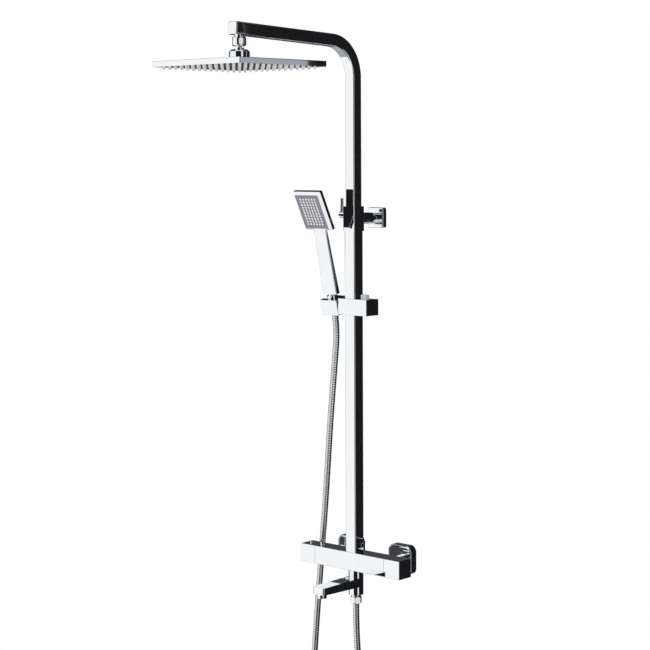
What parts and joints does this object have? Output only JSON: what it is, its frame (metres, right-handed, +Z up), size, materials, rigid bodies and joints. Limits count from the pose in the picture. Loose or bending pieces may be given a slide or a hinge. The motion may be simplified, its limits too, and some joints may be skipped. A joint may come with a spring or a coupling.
{
  "type": "rainfall shower column",
  "caption": "Wall-mounted square-section shower column: mixer bar with spout, telescopic riser, overhead square rain head, sliding holder, handset and hose.",
  "frame": {"origin": "on the wall plane, midway between the hot and cold inlets, at inlet height", "axes": "+X to the right seen from the front, +Y into the wall, +Z up"},
  "size_m": [0.2965, 0.5715, 1.615],
  "materials": {
    "chromed_brass": "polished chrome plate on brass",
    "chromed_steel": "polished chrome plate on stainless steel tube",
    "chromed_plastic": "bright chrome plate on ABS",
    "bare_brass": "turned brass, unplated",
    "steel_sheet": "polished stainless sheet",
    "spring_steel": "drawn spring wire and set screws",
    "white_silicone": "soft white silicone",
    "grey_plate": "satin grey plastic",
    "white_plastic": "white moulded plastic",
    "grey_button": "satin silver-grey plastic",
    "black_rubber": "black EPDM rubber",
    "dark_plastic": "dark acetal",
    "cartridge_plastic": "off-white engineering plastic",
    "hose_skin": "bright metal-look wound hose"
  },
  "bodies": {
    "mixer_and_riser": {"mixer_body": "chromed_brass", "inlet_unions": "chromed_brass", "inlet_nuts": "chromed_brass", "inlet_washers": "black_rubber", "inlet_check_valves": "cartridge_plastic", "inlet_rosettes": "chromed_steel", "thermostatic_cartridge": "bare_brass", "diverter_cartridge": "cartridge_plastic", "cartridge_nuts": "bare_brass", "riser_spigot": "bare_brass", "riser_o_rings": "black_rubber", "riser_foot": "bare_brass", "riser_lower_tube": "chromed_steel", "riser_collar": "chromed_brass", "bracket_stem": "chromed_brass", "bracket_rosette": "chromed_steel", "bracket_wall_plate": "steel_sheet", "bracket_grub_screw": "spring_steel", "spout_pillar": "chromed_brass", "spout_o_rings": "black_rubber", "spout_retaining_ring": "spring_steel", "hose_lower_nut": "chromed_brass", "hose_lower_ferrule": "chromed_brass", "hose": "hose_skin"},
    "upper_riser": {"riser_upper_tube": "chromed_steel", "riser_seal_bush": "dark_plastic", "arm_end_cap": "chromed_brass", "arm_nipple": "chromed_brass", "swivel_nut": "chromed_brass"},
    "riser_clamp": {"clamp_knob": "chromed_brass", "clamp_lever": "chromed_brass"},
    "ball_seat": {"ball_seat_ring": "cartridge_plastic"},
    "ball_cup": {"ball_friction_cup": "black_rubber"},
    "rain_head": {"ball_stud": "chromed_brass", "head_hub": "chromed_brass", "head_shell": "chromed_steel", "head_face_plate": "chromed_steel", "head_nozzle_mat": "white_silicone", "head_gasket": "black_rubber"},
    "slider": {"slider_body": "chromed_plastic", "slider_liner": "dark_plastic", "slider_brake_shoe": "dark_plastic", "holder_pivot_pin": "spring_steel", "holder_friction_washer": "dark_plastic", "release_spring": "spring_steel"},
    "slider_button": {"release_button": "grey_button"},
    "holder": {"holder_body": "chromed_plastic", "holder_liner": "dark_plastic"},
    "hose_end": {"hose_upper_ferrule": "bare_brass"},
    "handset": {"handset_body": "chromed_plastic", "handset_face_plate": "grey_plate", "handset_nozzles": "white_silicone", "hose_cone_nut": "chromed_plastic"},
    "temperature_control": {"temperature_knob": "chromed_brass", "temperature_spindle": "bare_brass"},
    "safety_stop": {"safety_button": "chromed_brass"},
    "diverter_control": {"diverter_knob": "chromed_brass", "diverter_spindle": "bare_brass"},
    "spout": {"spout_body": "chromed_brass", "aerator": "chromed_brass"}
  },
  "joints": [
    {"name": "temperature_turn", "type": "hinge", "parent": "mixer_and_riser", "child": "temperature_control", "pos_m": [-0.12, -0.084, 0], "axis": [1, 0, 0], "range_deg": [-120, 150]},
    {"name": "safety_press", "type": "slide", "parent": "temperature_control", "child": "safety_stop", "axis": [0, 0, -1], "range_m": [0, 0.0015], "stiffness_N_per_m": 600, "springref_m": -0.0008},
    {"name": "diverter_turn", "type": "hinge", "parent": "mixer_and_riser", "child": "diverter_control", "pos_m": [0.12, -0.084, 0], "axis": [1, 0, 0], "range_deg": [-90, 90]},
    {"name": "spout_swivel", "type": "hinge", "parent": "mixer_and_riser", "child": "spout", "pos_m": [0.0035, -0.084, -0.05], "axis": [0, 0, 1], "range_deg": [-90, 90]},
    {"name": "riser_extend", "type": "slide", "parent": "mixer_and_riser", "child": "upper_riser", "axis": [0, 0, 1], "range_m": [-0.25, 0.09]},
    {"name": "head_spin", "type": "hinge", "parent": "upper_riser", "child": "ball_seat", "pos_m": [0, -0.4325, 1.125], "axis": [0, 0, 1], "continuous": true},
    {"name": "head_tilt_side", "type": "hinge", "parent": "ball_seat", "child": "ball_cup", "pos_m": [0, -0.4325, 1.125], "axis": [0, 1, 0], "range_deg": [-10, 10]},
    {"name": "head_tilt_front", "type": "hinge", "parent": "ball_cup", "child": "rain_head", "pos_m": [0, -0.4325, 1.125], "axis": [1, 0, 0], "range_deg": [-10, 10]},
    {"name": "clamp_turn", "type": "hinge", "parent": "mixer_and_riser", "child": "riser_clamp", "pos_m": [-0.03, -0.084, 0.766], "axis": [1, 0, 0], "range_deg": [-100, 0]},
    {"name": "slider_slide", "type": "slide", "parent": "mixer_and_riser", "child": "slider", "axis": [0, 0, 1], "range_m": [-0.4, 0.115], "deforming": ["hose"]},
    {"name": "release_press", "type": "slide", "parent": "slider", "child": "slider_button", "axis": [0, 0, -1], "range_m": [0, 0.004], "stiffness_N_per_m": 500, "springref_m": -0.001, "deforming": ["release_spring"]},
    {"name": "holder_tilt", "type": "hinge", "parent": "slider", "child": "holder", "pos_m": [0, -0.086, 0.5656], "axis": [1, 0, 0], "range_deg": [-8, 30], "deforming": ["hose"]},
    {"name": "handset_lift", "type": "slide", "parent": "holder", "child": "hose_end", "axis": [0, -0.2334, 0.9724], "range_m": [0, 0.022], "deforming": ["hose"]},
    {"name": "handset_turn", "type": "hinge", "parent": "hose_end", "child": "handset", "pos_m": [-0.058, -0.086, 0.5656], "axis": [0, -0.2334, 0.9724], "range_deg": [-90, 90]}
  ]
}
